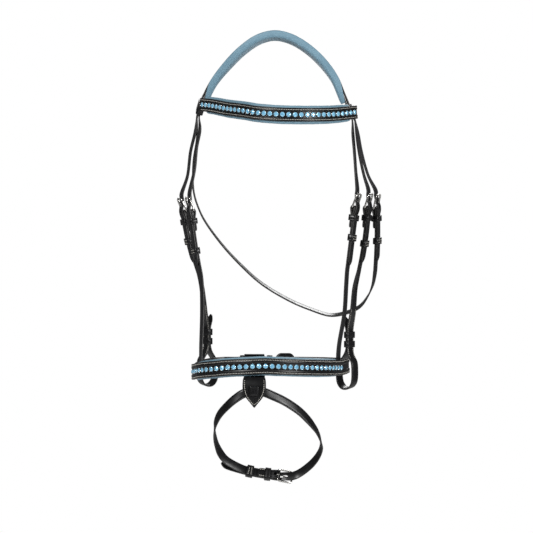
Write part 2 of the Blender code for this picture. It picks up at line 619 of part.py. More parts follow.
def flash_tab():
    """The shield under the noseband, and the tab behind it that hooks over the noseband."""
    middle = -27.0
    across = (1, 0, 0)
    shield = [(-82.2, -455.2, 0.92), (-85.2, -459, 0.98), (-87.2, -465, 1), (-87.3, -472, 0.97),
              (-87.3, -478, 0.83), (-86.8, -483, 0.62), (-86, -489, 0.33), (-85, -494, 0.08)]
    rows = np.array([(middle, y, z, *across) for y, z, _ in shield])
    sizes = [w for _, _, w in shield]
    add_object("flash_shield", swept(rows, flat(SHIELD_WIDTH, 2.4), sizes), LEATHER)
    back = [(-65.2, -425, 0.85), (-63.4, -430, 0.9), (-63.2, -450, 0.9), (-65, -456.6, 0.9),
            (-72, -459.4, 0.9), (-77, -462.6, 0.9), (-79, -467, 0.94), (-79, -472, 0.9),
            (-79, -478, 0.76), (-80, -484, 0.52), (-81.6, -490, 0.24), (-82.1, -492.5, 0.1)]
    rows = np.array([(middle, y, z, *across) for y, z, _ in back])
    sizes = [w for _, _, w in back]
    add_object("flash_tab_back", swept(rows, flat(SHIELD_WIDTH, 2.0), sizes), LEATHER)


def build():
    for old in list(bpy.data.objects):
        bpy.data.objects.remove(old, do_unlink=True)
    crown()
    headstrap()
    billets()
    straps()
    bands()
    browband_loops()
    noseband_back()
    flash_strap()
    flash_tab()
    for name in BUCKLES:
        buckle_frame(name)
        buckle_prong(name)
        fixed_keeper(name)
        sliding_keeper(name)


build()
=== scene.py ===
import math

import bmesh
import bpy
import numpy as np
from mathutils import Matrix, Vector


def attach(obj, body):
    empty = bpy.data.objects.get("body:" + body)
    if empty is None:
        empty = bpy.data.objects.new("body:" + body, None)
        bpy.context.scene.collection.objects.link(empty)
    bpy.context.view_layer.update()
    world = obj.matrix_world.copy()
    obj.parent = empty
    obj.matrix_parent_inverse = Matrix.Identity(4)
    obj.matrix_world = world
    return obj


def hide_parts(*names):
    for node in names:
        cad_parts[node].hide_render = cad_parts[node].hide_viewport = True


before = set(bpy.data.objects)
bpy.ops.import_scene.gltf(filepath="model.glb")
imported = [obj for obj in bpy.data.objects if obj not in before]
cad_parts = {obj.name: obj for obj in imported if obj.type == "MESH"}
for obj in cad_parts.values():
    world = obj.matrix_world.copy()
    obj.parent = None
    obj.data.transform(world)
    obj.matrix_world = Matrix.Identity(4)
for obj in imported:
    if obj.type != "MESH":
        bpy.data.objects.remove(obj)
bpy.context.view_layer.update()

# Lengths are millimetres in the model's own frame; add_piece turns them into metres.
MM = 0.001
GAP = 0.35
STRAP_WIDTH, STRAP_THICK = 13.0, 2.0
FLASH_WIDTH, CHIN_WIDTH = 12.0, 20.0
WIRE_RADIUS, BAR_DEPTH, FRAME_RISE, FRAME_LENGTH = 1.25, -3.0, 5.0, 19.0
PRONG_WIDTH, PRONG_THICK, KEEPER_WALL, KEEPER_LENGTH = 2.2, 1.0, 1.5, 9.0
BILLET_LEVEL, STRAP_LEVEL, RETURN_LEVEL, RETURN_END = 0.5, -1.85, -4.2, 27.0
PAD_BASE, PAD_GROOVE, CROWN_THICK = 5.0, 2.7, 2.4
CROWN_WIDTH_POLL, CROWN_WIDTH_END, CROWN_BEYOND = 34.0, 29.0, 27.0
HEADSTRAP_SHIFT, HEADSTRAP_BEYOND = -8.0, 24.0
CROWN_LEVEL = PAD_BASE + PAD_GROOVE + GAP + CROWN_THICK / 2
HEADSTRAP_LEVEL = PAD_BASE + (PAD_GROOVE + GAP) / 2
CROWN_SPLIT = STRAP_WIDTH / 2 + 0.6
LOOP_BEYOND, LOOP_HEIGHT, LOOP_WALL = 5.0, 15.0, 1.8
BAND_THICK, BAND_PAD_THICK = 3.0, 7.5
SHIELD_MIDDLE, SHIELD_WIDTH = -27.0, 31.0
BIT_LOOP_WIDE = 29.0
BIT_LEFT, BIT_RIGHT, BIT_LEAN_RIGHT = (-94, 77, -419.5), (104.5, 60, -423), 4.5
STEP = 2.2  # the length between a strap's cross sections
WHOLE = math.inf  # the end of a run of stitches that goes on to the end of its strap
UP = Vector((0, 0, 1))


# ---------------------------------------------------------------- materials

def new_material(name):
    made = bpy.data.materials.new(name)
    made.use_nodes = True
    tree = made.node_tree
    return made, tree, tree.nodes["Principled BSDF"]


def add_node(tree, kind, **values):
    node = tree.nodes.new(kind)
    for key, value in values.items():
        if key in node.inputs:
            node.inputs[key].default_value = value
        else:
            setattr(node, key.lower(), value)
    return node


def noise(tree, scale, detail=3.0, roughness=0.5):
    place = tree.nodes.new("ShaderNodeTexCoord")
    made = add_node(tree, "ShaderNodeTexNoise", Scale=scale, Detail=detail, Roughness=roughness)
    tree.links.new(place.outputs["Object"], made.inputs["Vector"])
    return made.outputs["Fac"]


def cells(tree, scale):
    """How far a point is from the edge of its cell, as in the pores of leather."""
    place = tree.nodes.new("ShaderNodeTexCoord")
    made = add_node(tree, "ShaderNodeTexVoronoi", Scale=scale)
    made.feature = "DISTANCE_TO_EDGE"
    tree.links.new(place.outputs["Object"], made.inputs["Vector"])
    return made.outputs["Distance"]


def ramp(tree, source, low, high, from_min=0.0, from_max=1.0):
    """A number that goes from low to high as the source does."""
    made = add_node(tree, "ShaderNodeMapRange")
    made.inputs["From Min"].default_value = from_min
    made.inputs["From Max"].default_value = from_max
    made.inputs["To Min"].default_value = low
    made.inputs["To Max"].default_value = high
    tree.links.new(source, made.inputs["Value"])
    return made.outputs["Result"]


def blended(tree, share, first, second):
    """The first colour where share is 0 and the second where it is 1."""
    made = tree.nodes.new("ShaderNodeMix")
    made.data_type = "RGBA"
    colours = [s for s in made.inputs if s.type == "RGBA"]
    for socket, colour in zip(colours, (first, second)):
        if isinstance(colour, tuple):
            socket.default_value = (*colour, 1)
        else:
            tree.links.new(colour, socket)
    tree.links.new(share, made.inputs["Factor"])
    return next(s for s in made.outputs if s.type == "RGBA")


def summed(tree, a, b, weight):
    made = add_node(tree, "ShaderNodeMath", Operation="MULTIPLY_ADD")
    tree.links.new(b, made.inputs[0])
    made.inputs[1].default_value = weight
    tree.links.new(a, made.inputs[2])
    return made.outputs[0]


def bumped(tree, shader, height, strength, distance):
    made = add_node(tree, "ShaderNodeBump", Strength=strength, Distance=distance)
    tree.links.new(height, made.inputs["Height"])
    tree.links.new(made.outputs["Normal"], shader.inputs["Normal"])


def edge_share(tree):
    made = tree.nodes.new("ShaderNodeAttribute")
    made.attribute_name = "edge"
    return made.outputs["Fac"]


def leather():
    """Black bridle leather: fine grain, wax shine, and paler edges that are partly dry worn leather and
    partly a painted highlight.
    """
    made, tree, shader = new_material("bridle_leather")
    broad, fine = noise(tree, 55, 4), noise(tree, 1500, 2)
    pores = ramp(tree, cells(tree, 1150), 0, 1, 0, 0.35)
    cloud = ramp(tree, broad, 0, 1, 0.35, 0.7)
    body = blended(tree, cloud, (0.0022, 0.0022, 0.0027), (0.0052, 0.0052, 0.0058))
    # The edges are mixed toward a paler grey: partly the dry, worn cut edge and partly a painted highlight
    # along the strap's edges.
    worn_and_highlit_edge = blended(tree, ramp(tree, edge_share(tree), 0, 0.75), body, (0.032, 0.031, 0.03))
    tree.links.new(worn_and_highlit_edge, shader.inputs["Base Color"])
    shine = summed(tree, ramp(tree, broad, 0.27, 0.38, 0.3, 0.7), edge_share(tree), 0.08)
    tree.links.new(shine, shader.inputs["Roughness"])
    bumped(tree, shader, summed(tree, pores, fine, 0.5), 0.09, 0.0001)
    shader.inputs["Specular IOR Level"].default_value = 0.33
    shader.inputs["Coat Weight"].default_value = 0.08
    shader.inputs["Coat Roughness"].default_value = 0.28
    return made


def padding():
    """Soft blue nappa over foam, with its own fine grain and painted shade in the grain's hollows."""
    made, tree, shader = new_material("blue_padding")
    broad, fine = noise(tree, 70, 4), noise(tree, 2100, 2)
    grain = ramp(tree, cells(tree, 1500), 0, 1, 0, 0.4)
    cloud = ramp(tree, broad, 0, 1, 0.3, 0.72)
    colour = blended(tree, cloud, (0.150, 0.272, 0.352), (0.182, 0.315, 0.395))
    # The colour is darker where the grain's bump sinks: painted shade in its hollows.
    grain_hollow_shade = blended(tree, ramp(tree, grain, 0.18, 0), colour, (0.14, 0.256, 0.335))
    tree.links.new(grain_hollow_shade, shader.inputs["Base Color"])
    tree.links.new(ramp(tree, broad, 0.46, 0.6, 0.3, 0.7), shader.inputs["Roughness"])
    bumped(tree, shader, summed(tree, grain, fine, 0.5), 0.025, 0.0001)
    shader.inputs["Sheen Weight"].default_value = 0.15
    shader.inputs["Sheen Roughness"].default_value = 0.5
    return made


def thread():
    """Waxed cream thread, with its twist and painted shade in the grooves between its plies."""
    made, tree, shader = new_material("cream_thread")
    place = tree.nodes.new("ShaderNodeTexCoord")
    twist = add_node(tree, "ShaderNodeTexWave", Scale=900.0, Distortion=1.5)
    twist.bands_direction = "DIAGONAL"
    tree.links.new(place.outputs["Object"], twist.inputs["Vector"])
    # The colour darkens where the twist's bump is low: painted shade in the grooves between the plies.
    colour = blended(tree, twist.outputs["Fac"], (0.42, 0.40, 0.35), (0.74, 0.72, 0.66))
    tree.links.new(colour, shader.inputs["Base Color"])
    bumped(tree, shader, twist.outputs["Fac"], 0.4, 0.0001)
    shader.inputs["Roughness"].default_value = 0.6
    return made


def steel():
    """Polished steel with faint rubbing marks."""
    made, tree, shader = new_material("polished_steel")
    marks = noise(tree, 420, 5, 0.65)
    tree.links.new(ramp(tree, marks, 0.15, 0.31, 0.35, 0.75), shader.inputs["Roughness"])
    cloud = ramp(tree, noise(tree, 90), 0, 1, 0.3, 0.7)
    colour = blended(tree, cloud, (0.48, 0.472, 0.448), (0.60, 0.59, 0.56))
    tree.links.new(colour, shader.inputs["Base Color"])
    bumped(tree, shader, marks, 0.05, 0.0001)
    shader.inputs["Metallic"].default_value = 1.0
    return made


def crystal():
    """Foil-backed glass, sky blue, with painted light: darker in its middle and paler towards its girdle.
    """
    made, tree, shader = new_material("sky_crystal")
    # Painted light: the edge share takes the colour from a darker middle to a paler girdle, as light
    # through the stone would.
    depth = edge_share(tree)
    colour = blended(tree, depth, (0.12, 0.40, 0.64), (0.32, 0.68, 0.92))
    varied = blended(tree, ramp(tree, noise(tree, 260, 2), 0, 0.5, 0.35, 0.75), colour, (0.42, 0.76, 0.95))
    tree.links.new(varied, shader.inputs["Base Color"])
    tree.links.new(ramp(tree, noise(tree, 800, 2), 0.04, 0.14), shader.inputs["Roughness"])
    shader.inputs["Metallic"].default_value = 0.15
    shader.inputs["Coat Weight"].default_value = 0.7
    shader.inputs["Coat Roughness"].default_value = 0.03
    return made


LEATHER, PADDING, THREAD, STEEL, CRYSTAL = leather(), padding(), thread(), steel(), crystal()


# ---------------------------------------------------------------- geometry

class Form:
    """Points, faces and edge shares that become one piece."""

    def __init__(self):
        self.points, self.faces, self.edges = [], [], []

    def loft(self, rings, edges=None, closed=False):
        """Skin over rings of points, capped at its ends unless it closes on itself."""
        start, size, count = len(self.points), len(rings[0]), len(rings)
        for ring in rings:
            self.points += [tuple(p) for p in ring]
            self.edges += edges or [0.0] * size
        for i in range(count if closed else count - 1):
            a, b = start + i * size, start + (i + 1) % count * size
            self.faces += [(a + k, a + (k + 1) % size, b + (k + 1) % size, b + k) for k in range(size)]
        if not closed:
            last = start + (count - 1) * size
            self.faces.append(tuple(range(start + size - 1, start - 1, -1)))
            self.faces.append(tuple(range(last, last + size)))
        return self


def mesh_of(name, form):
    mesh = bpy.data.meshes.new(name)
    mesh.from_pydata([[c * MM for c in p] for p in form.points], [], form.faces)
    shares = mesh.attributes.new("edge", "FLOAT", "POINT")
    shares.data.foreach_set("value", form.edges)
    bm = bmesh.new()
    bm.from_mesh(mesh)
    bmesh.ops.recalc_face_normals(bm, faces=bm.faces[:])
    bm.to_mesh(mesh)
    bm.free()
    return mesh


def add_piece(name, form, look, body, *nodes, sharp=50):
    """One object that rides on a body and stands in for the CAD nodes."""
    mesh = mesh_of(name, form)
    mesh.shade_smooth()
    mesh.set_sharp_from_angle(angle=math.radians(sharp))
    mesh.materials.append(look)
    made = bpy.data.objects.new(name, mesh)
    bpy.context.scene.collection.objects.link(made)
    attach(made, body)
    if nodes:
        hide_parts(*nodes)
    return made


def carve(target, cutters):
    """Cuts the cutters' form out of a piece."""
    tool = bpy.data.objects.new("cutter", mesh_of("cutter", cutters))
    bpy.context.scene.collection.objects.link(tool)
    cut = target.modifiers.new("cut", "BOOLEAN")
    cut.operation, cut.solver, cut.object = "DIFFERENCE", "EXACT", tool
    bpy.context.view_layer.update()
    seen = target.evaluated_get(bpy.context.evaluated_depsgraph_get())
    result = bpy.data.meshes.new_from_object(seen)
    target.modifiers.clear()
    target.data = result
    bpy.data.objects.remove(tool, do_unlink=True)


def spaced(points, step=STEP):
    """A smooth curve through the rows of points, read at even steps of its length."""
    rows = np.array(points, float)
    ends = np.vstack([2 * rows[0] - rows[1], rows, 2 * rows[-1] - rows[-2]])
    fine = []
    for a, b, c, d in zip(ends, ends[1:], ends[2:], ends[3:]):
        ta, tb, tc = (max(np.linalg.norm(q[:3] - p[:3]), 1e-6) ** 0.5
                      for p, q in ((a, b), (b, c), (c, d)))
        out = ((b - a) / ta - (c - a) / (ta + tb) + (c - b) / tb) * tb
        into = ((c - b) / tb - (d - b) / (tb + tc) + (d - c) / tc) * tb
        for t in np.linspace(0, 1, 16, endpoint=False):
            fine.append((2 * t**3 - 3 * t**2 + 1) * b + (t**3 - 2 * t**2 + t) * out
                        + (3 * t**2 - 2 * t**3) * c + (t**3 - t**2) * into)
    fine = np.array([*fine, rows[-1]])
    run = np.concatenate([[0], np.cumsum(np.linalg.norm(np.diff(fine[:, :3], axis=0), axis=1))])
    places = np.linspace(0, run[-1], max(int(run[-1] / step), 4))
    return np.stack([np.interp(places, run, fine[:, k]) for k in range(fine.shape[1])], axis=1)


def axes_along(rows, closed=False):
    """(place, tangent, across, out) of each row."""
    found, count = [], len(rows)
    for i, row in enumerate(rows):
        before = rows[i - 1] if closed or i else rows[i]
        after = rows[(i + 1) % count] if closed or i < count - 1 else rows[i]
        tangent = Vector(after[:3] - before[:3]).normalized()
        across = Vector(row[3:6])
        across = (across - tangent * across.dot(tangent)).normalized()
        found.append((Vector(row[:3]), tangent, across, tangent.cross(across)))
    return found


def swept(rows, profile, closed=False, width=None):
    """Rings of the profile's (across, out) points; a row's seventh number narrows it."""
    rings = []
    for row, (place, _, across, out) in zip(rows, axes_along(rows, closed)):
        inset = (1 - row[6]) * width / 2 if width and len(row) > 6 else 0.0
        ring = []
        for w, n in profile:
            narrow = max(abs(w) - inset, 0.05) if abs(w) > 0.01 else 0.0
            ring.append(place + across * math.copysign(narrow, w) + out * n)
        rings.append(ring)
    return rings


def strap_section(width, thick, middle=0.0, crease=True):
    """Half of a strap's section is drawn and mirrored: eased edges and a creased line beside them."""
    w, t = width / 2, thick / 2
    half = [(0, -t, 0), (w - 0.7, -t, 0.1), (w - 0.2, -t + 0.18, 0.6), (w, -t + 0.55, 1),
            (w, t - 0.6, 1), (w - 0.14, t - 0.22, 0.8), (w - 0.5, t, 0.35), (w - 1.15, t + 0.03, 0.1)]
    if crease:
        half += [(w - 1.42, t - 0.17, 0), (w - 1.7, t + 0.03, 0)]
    half += [(w - 3.2, t + 0.09, 0), (0, t + 0.12, 0)]
    full = half + [(-x, y, e) for x, y, e in half[-2:0:-1]]
    return [(x, middle + y) for x, y, _ in full], [e for *_, e in full]


def band_section(height, thick):
    """A browband's section: rolled edges, a sunk stitch line, and a channel for the crystals."""
    w, t = height / 2, thick / 2
    half = [(0, -t, 0), (w - 0.6, -t, 0.1), (w, -t + 0.6, 0.8), (w, t - 0.9, 0.8), (w - 0.4, t - 0.15, 0.5),
            (w - 1.2, t + 0.25, 0.15), (w - 2.0, t, 0), (w - 2.45, t - 0.4, 0), (w - 2.9, t - 0.1, 0),
            (w - 3.8, t + 0.25, 0), (4.35, t + 0.2, 0.1), (3.95, t - 0.25, 0), (3.7, t - 0.75, 0),
            (0, t - 0.75, 0)]
    full = half + [(-x, y, e) for x, y, e in half[-2:0:-1]]
    return [(x, y) for x, y, _ in full], [e for *_, e in full]


def arc(x, y, radius, first, last, count):
    return [(x + radius * math.cos(math.radians(a)), y + radius * math.sin(math.radians(a)))
            for a in np.linspace(first, last, count)]


def capsule(form, start, end, up, wide, high):
    """One stitch: a small rounded bead of thread that dips at both its ends."""
    start, end = Vector(start), Vector(end)
    along = (end - start).normalized()
    side = along.cross(up).normalized()
    rings = []
    for share, size, sink in ((0, 0.35, 0.3), (0.12, 0.8, 0.08), (0.35, 1, 0), (0.65, 1, 0),
                              (0.88, 0.8, 0.08), (1, 0.35, 0.3)):
        middle = start.lerp(end, share) - up * (sink * high)
        rings.append([middle + side * (wide / 2 * size * math.cos(a)) + up * (high / 2 * size * math.sin(a))
                      for a in (math.radians(60 * k) for k in range(6))])
    form.loft(rings)


def sew(form, rows, across_shift, out_shift, reach, pitch, length=2.2, wide=0.75, high=0.55):
    """A run of slightly slanted stitches beside the rows' own line, for the reach along it."""
    found = axes_along(rows)
    line = np.array([p + a * across_shift + o * out_shift for p, _, a, o in found])
    ups = np.array([o for *_, o in found])
    sides = np.array([a for _, _, a, _ in found])
    run = np.concatenate([[0], np.cumsum(np.linalg.norm(np.diff(line, axis=0), axis=1))])
    first, last = reach[0], min(reach[1], run[-1])

    def read(values, at):
        return Vector([np.interp(at, run, values[:, k]) for k in range(3)])

    for k in range(int((last - first) / pitch)):
        at = first + (k + 0.5) * pitch
        lean = read(sides, at) * 0.12
        capsule(form, read(line, at - length / 2) - lean, read(line, at + length / 2) + lean,
                read(ups, at).normalized(), wide, high)


# ---------------------------------------------------------------- buckles and what hangs from them

class Frame:
    """A buckle's own coordinates: along the strap away from it, across, and out."""

    def __init__(self, hinge, along, across, bend=(0, 0, 0)):
        self.hinge, self.along = Vector(hinge), Vector(along).normalized()
        self.across, self.bend = Vector(across), Vector(bend)

    def axes(self, s):
        along = (self.along + self.bend * max(s, 0)).normalized()
        across = (self.across - along * self.across.dot(along)).normalized()
        return along, across, along.cross(across)

    def at(self, s, w, n):
        _, across, out = self.axes(s)
        middle = self.hinge + self.along * s + self.bend * (max(s, 0) ** 2 / 2)
        return middle + across * w + out * n

    def row(self, s, n, size=1.0):
        return (*self.at(s, 0, n), *self.axes(s)[1], size)


RIGHT, LEFT = (0.38, 0.92, 0), (0.38, -0.92, 0)
BUCKLES = {
    "noseband_right": Frame((110.5, -15, -229.5), (-0.125, 0, -1), RIGHT),
    "cheek_right": Frame((128.5, 8, -228.8), (-0.05, 0.06, -1), RIGHT, (-0.0019, 0.001, 0)),
    "throat": Frame((142, 32, -228.9), (0.04, 0.10, -1), RIGHT, (-0.0012, 0, 0)),
    "cheek_left": Frame((-126.5, 40, -233.8), (0.14, 0.06, -1), LEFT, (0.0022, 0.001, 0)),
    "noseband_left": Frame((-115.5, 15, -233.5), (0.1, -0.02, -1), LEFT, (0.0012, 0, 0)),
    "flash": Frame((4, -34, -589.5), (-1, -0.02, 0.08), (0, 0.5, 0.85), (0, -0.0005, 0.004)),
    "chin": Frame((7, 79, -445), (-1, 0, 0), (0, 0, 1)),
}
KEEPER_PLACES = {
    "noseband_right": 36.0, "cheek_right": 44.0, "throat": 40.0, "cheek_left": 36.0,
    "noseband_left": 50.0, "flash": 33.0, "chin": 46.0,
}
BILLET_TIPS = {
    "noseband_right": 78.0, "cheek_right": 74.0, "throat": 72.0, "cheek_left": 70.0,
    "noseband_left": 74.0, "flash": 76.0, "chin": 66.0,
}
WIDTHS = {name: STRAP_WIDTH for name in BUCKLES} | {"flash": FLASH_WIDTH, "chin": CHIN_WIDTH}
BODY = {name: "bridle" for name in BUCKLES} | {"flash": "flash_loop"}


def buckle(name):
    """The bent wire frame with its hinge bar, and the prong curled round the bar."""
    place, half = BUCKLES[name], WIDTHS[name] / 2 + 1.0 + WIRE_RADIUS
    length = math.hypot(FRAME_LENGTH, FRAME_RISE)
    slope = Vector((-FRAME_LENGTH, FRAME_RISE)) / length
    outline = []
    for w, v, start in ((half, 0, -90), (half, length, 0), (-half, length, 90), (-half, 0, 180)):
        outline += arc(w - math.copysign(3.2, w), v - 3.2 if v else 3.2, 3.2, start, start + 90, 7)
    points = [place.at(slope.x * y, x, BAR_DEPTH + slope.y * y) for x, y in outline]
    normal = (points[8] - points[0]).cross(points[15] - points[8]).normalized()
    rows = np.array([(*p, *normal) for p in points])
    wire = arc(0, 0, WIRE_RADIUS, 15, 345, 12)
    add_piece(f"{name}_buckle", Form().loft(swept(rows, wire, True), closed=True), STEEL, BODY[name],
              f"buckle_frame_{name}", sharp=80)
    eye = WIRE_RADIUS + GAP + PRONG_THICK / 2
    tip = BAR_DEPTH + FRAME_RISE + WIRE_RADIUS + GAP + PRONG_THICK / 2
    rows = [place.row(-eye * math.sin(math.radians(a)), BAR_DEPTH + eye * math.cos(math.radians(a)))
            for a in range(100, 361, 20)]
    for share, size in ((0.3, 1), (0.6, 0.9), (0.9, 0.75), (1.03, 0.6), (1.1, 0.2)):
        level = BAR_DEPTH + eye + share * (tip - BAR_DEPTH - eye)
        rows.append(place.row(-FRAME_LENGTH * share, level, size))
    w, t = PRONG_WIDTH / 2, PRONG_THICK / 2
    profile = [(w - 0.3, -t), (w, -t + 0.3), (w, t - 0.3), (w - 0.35, t), (-w + 0.35, t), (-w, t - 0.3),
               (-w, -t + 0.3), (-w + 0.3, -t)]
    add_piece(f"{name}_prong", Form().loft(swept(spaced(rows, 0.8), profile, width=PRONG_WIDTH)), STEEL,
              f"prong_{name}", f"buckle_prong_{name}")


def round_band(place, start, length, width, low, high, wall=KEEPER_WALL):
    """Rings of a keeper, whose edges are eased and whose outer face is creased."""
    half, radius, crease = width / 2, 1.2, min(1.3, length * 0.2)
    stations = [(0.0, 0.35), (0.0, wall - 0.45), (0.18, wall - 0.12), (0.55, wall), (crease, wall),
                (crease + 0.28, wall - 0.17), (crease + 0.56, wall)]
    stations += [(length - s, g) for s, g in stations[::-1]] + [(length - 0.3, 0.0), (0.3, 0.0)]
    rings = []
    for s, grow in stations:
        outline = []
        for cw, cn, first in ((half, low, -90), (half, high, 0), (-half, high, 90), (-half, low, 180)):
            mid_w = cw - math.copysign(radius, cw)
            mid_n = cn + radius if cn == low else cn - radius
            outline += arc(mid_w, mid_n, radius + grow, first, first + 90, 6)
        rings.append([place.at(start + s, w, n) for w, n in outline])
    return rings


def keepers(name):
    """The fixed keeper below the buckle, and the runner that slides on the strap."""
    place, width = BUCKLES[name], WIDTHS[name] + 1.3
    high = BILLET_LEVEL + STRAP_THICK / 2
    fixed = round_band(place, 9.5, 8.0, width, RETURN_LEVEL - STRAP_THICK / 2 - 0.5, high + 0.6)
    add_piece(f"{name}_fixed_keeper", Form().loft(fixed, closed=True), LEATHER, BODY[name],
              f"fixed_keeper_{name}", sharp=60)
    room = 0.9 if name == "flash" else 0.6
    runner = round_band(place, KEEPER_PLACES[name], KEEPER_LENGTH, width,
                        STRAP_LEVEL - STRAP_THICK / 2 - room, high + room)
    add_piece(f"{name}_runner", Form().loft(runner, closed=True), LEATHER, f"keeper_{name}",
              f"sliding_keeper_{name}", sharp=60)
    seams = Form()
    start, low = KEEPER_PLACES[name], STRAP_LEVEL - STRAP_THICK / 2
    for at in (start + 2.9, start + KEEPER_LENGTH - 2.9):
        for level, side in ((high + room + KEEPER_WALL, 1), (low - room - KEEPER_WALL, -1)):
            for w in np.arange(-width / 2 + 1.6, width / 2 - 1.4, 2.1):
                a, b = (place.at(at, w + d, level + 0.05 * side) for d in (-0.75, 0.75))
                capsule(seams, a, b, place.axes(start)[2] * side, 0.7, 0.5)
    add_piece(f"{name}_runner_stitching", seams, THREAD, f"keeper_{name}")


def turned_over(place):
    """Rows of a strap that comes back from its stitched end, round the hinge bar, and leaves."""
    wrap = WIRE_RADIUS + GAP + STRAP_THICK / 2
    rows = [place.row(RETURN_END, RETURN_LEVEL, 0.75), place.row(RETURN_END - 2, RETURN_LEVEL),
            place.row(9, RETURN_LEVEL), place.row(4, BAR_DEPTH - wrap + 0.35)]
    for angle in range(180, -1, -30):
        turn = math.radians(angle)
        rows.append(place.row(-wrap * math.sin(turn), BAR_DEPTH + wrap * math.cos(turn)))
    return rows + [place.row(4, BAR_DEPTH + wrap - 0.35), place.row(9, STRAP_LEVEL)]


def billet_end(place, tip):
    """Rows of a billet: behind the upper bar, over the hinge bar, and down to its point."""
    rows = [(-24, -1.7), (-18, -1.6), (-12, -0.7), (-8, 0.5), (-4, 1.75), (0, 2.15), (4, 1.75)]
    rows += [(9, BILLET_LEVEL + 0.1), (20, BILLET_LEVEL)]
    rows += [(s, BILLET_LEVEL) for s in range(32, int(tip) - 10, 12)]
    rows = [place.row(s, n) for s, n in rows]
    return rows + [place.row(tip - s, BILLET_LEVEL, size)
                   for s, size in ((9, 1.0), (6, 0.93), (3, 0.66), (1, 0.34), (0, 0.12))]


def oval(form, place, s, n, along, across, depth):
    """A cutter of oval section through a strap."""
    rings = [[place.at(s + along * math.sin(a), across * math.cos(a), n + d)
              for a in (math.radians(30 * k) for k in range(12))] for d in (-depth, depth)]
    form.loft(rings)


def billet_holes(piece, name, spare):
    """The slot that the prong stands in, and the billet's spare holes."""
    place, cutters = BUCKLES[name], Form()
    rings = []
    for n in (-4, 6):
        rings.append([place.at(s, w, n) for s, w in
                      arc(-1.25, 0, 1.75, -90, 90, 7) + arc(-11.75, 0, 1.75, 90, 270, 7)])
    cutters.loft(rings)
    for k in range(spare):
        s = KEEPER_PLACES[name] + KEEPER_LENGTH + 5 + 8.5 * k
        oval(cutters, place, s, BILLET_LEVEL, 1.35, 1.1, 1.3)
    carve(piece, cutters)


def prong_gap(piece, name):
    """The opening in the turned-over end that the prong's eye turns in."""
    place, cutters = BUCKLES[name], Form()
    low, high = BAR_DEPTH - 6, BAR_DEPTH + WIRE_RADIUS + GAP + STRAP_THICK + 1
    cutters.loft([[place.at(s, w, n) for w, n in ((-2, low), (2, low), (2, high), (-2, high))]
                  for s in (-6, 5.5)])
    carve(piece, cutters)


def sized(rows):
    """Rows with a seventh number, 1, where they have none."""
    return [tuple(r) if len(r) > 6 else (*r, 1.0) for r in rows]


def strap(name, rows, width, body, *nodes):
    """A plain strap along the rows, and the fine rows it was made from."""
    rows = spaced(sized(rows))
    section, edges = strap_section(width, STRAP_THICK)
    made = add_piece(name, Form().loft(swept(rows, section, width=width), edges), LEATHER, body, *nodes)
    return made, rows


def hanging_rows(name, route):
    place = BUCKLES[name]
    straight = [place.row(s, STRAP_LEVEL) for s in (20, 32, 44, 56, 68, 80, 86)]
    return turned_over(place) + straight + route


def turn_stitches(name, form):
    """Two runs of stitches that close a turned-over end on its outer face, below the buckle."""
    place, edge = BUCKLES[name], WIDTHS[name] / 2 - 1.5
    rows = np.array([place.row(s, STRAP_LEVEL) for s in np.linspace(5, RETURN_END, 12)])
    inner = np.array([place.row(s, RETURN_LEVEL) for s in np.linspace(5, RETURN_END, 12)])
    for side in (-edge, edge):
        sew(form, rows, side, STRAP_THICK / 2 + 0.04, (13, WHOLE), 2.4, 1.75, 0.75, 0.5)
        sew(form, inner, side, -STRAP_THICK / 2 - 0.04, (13, WHOLE), 2.4, 1.75, 0.75, 0.5)


# ---------------------------------------------------------------- crown and headstrap

LEFT_HANG = (-0.293, 0.268, -0.918)
CROWN = [
    (-90.3, 34.5, -79.5, -0.1, 0.99, 0), (-81, 29, -62, -0.08, 1, 0), (-62, 19, -39, 0, 1, 0),
    (-40, 8, -18, 0.03, 1, 0), (-19, 2, -4.5, 0.03, 1, 0), (0, 0, 0, 0, 1, 0),
    (20, -2, -4.5, 0, 1, 0), (41, -4, -17, 0, 1, 0), (61, -5, -35.5, 0, 1, 0),
    (77, -5, -57, 0.04, 1, 0), (86, -4, -77, 0.08, 1, 0), (90.5, -3, -88, 0.1, 0.99, 0),
]


def crown_hang(rows, side):
    """The way the crown runs on below the padding at one side."""
    return Vector(LEFT_HANG) if side == "left" else Vector(rows[-1][:3] - rows[-2][:3]).normalized()


def crown_rows(beyond=0.0):
    """Fine rows of the padding's underside from left to right, made longer at both ends."""
    rows = spaced(CROWN, STEP)
    made = list(rows)
    if beyond:
        for end, side in ((0, "left"), (-1, "right")):
            step = np.array(crown_hang(rows, side))
            more = []
            for k in range(1, int(beyond / STEP) + 2):
                row = rows[end].copy()
                row[:3] += step * min(k * STEP, beyond)
                more.append(row)
            made = more[::-1] + made if end == 0 else made + more
    return np.array(made)


def crown_line(shift, out, beyond):
    return [(*(p + a * shift + o * out), *a) for p, _, a, o in axes_along(crown_rows(beyond))]


def flipped(rows):
    return [(*row[:3], *(-value for value in row[3:6]), *row[6:]) for row in rows]


def crown_end(side, shift):
    line = crown_line(shift, CROWN_LEVEL, CROWN_BEYOND + 0.5)
    return flipped(line[:1])[0] if side == "left" else line[-1]


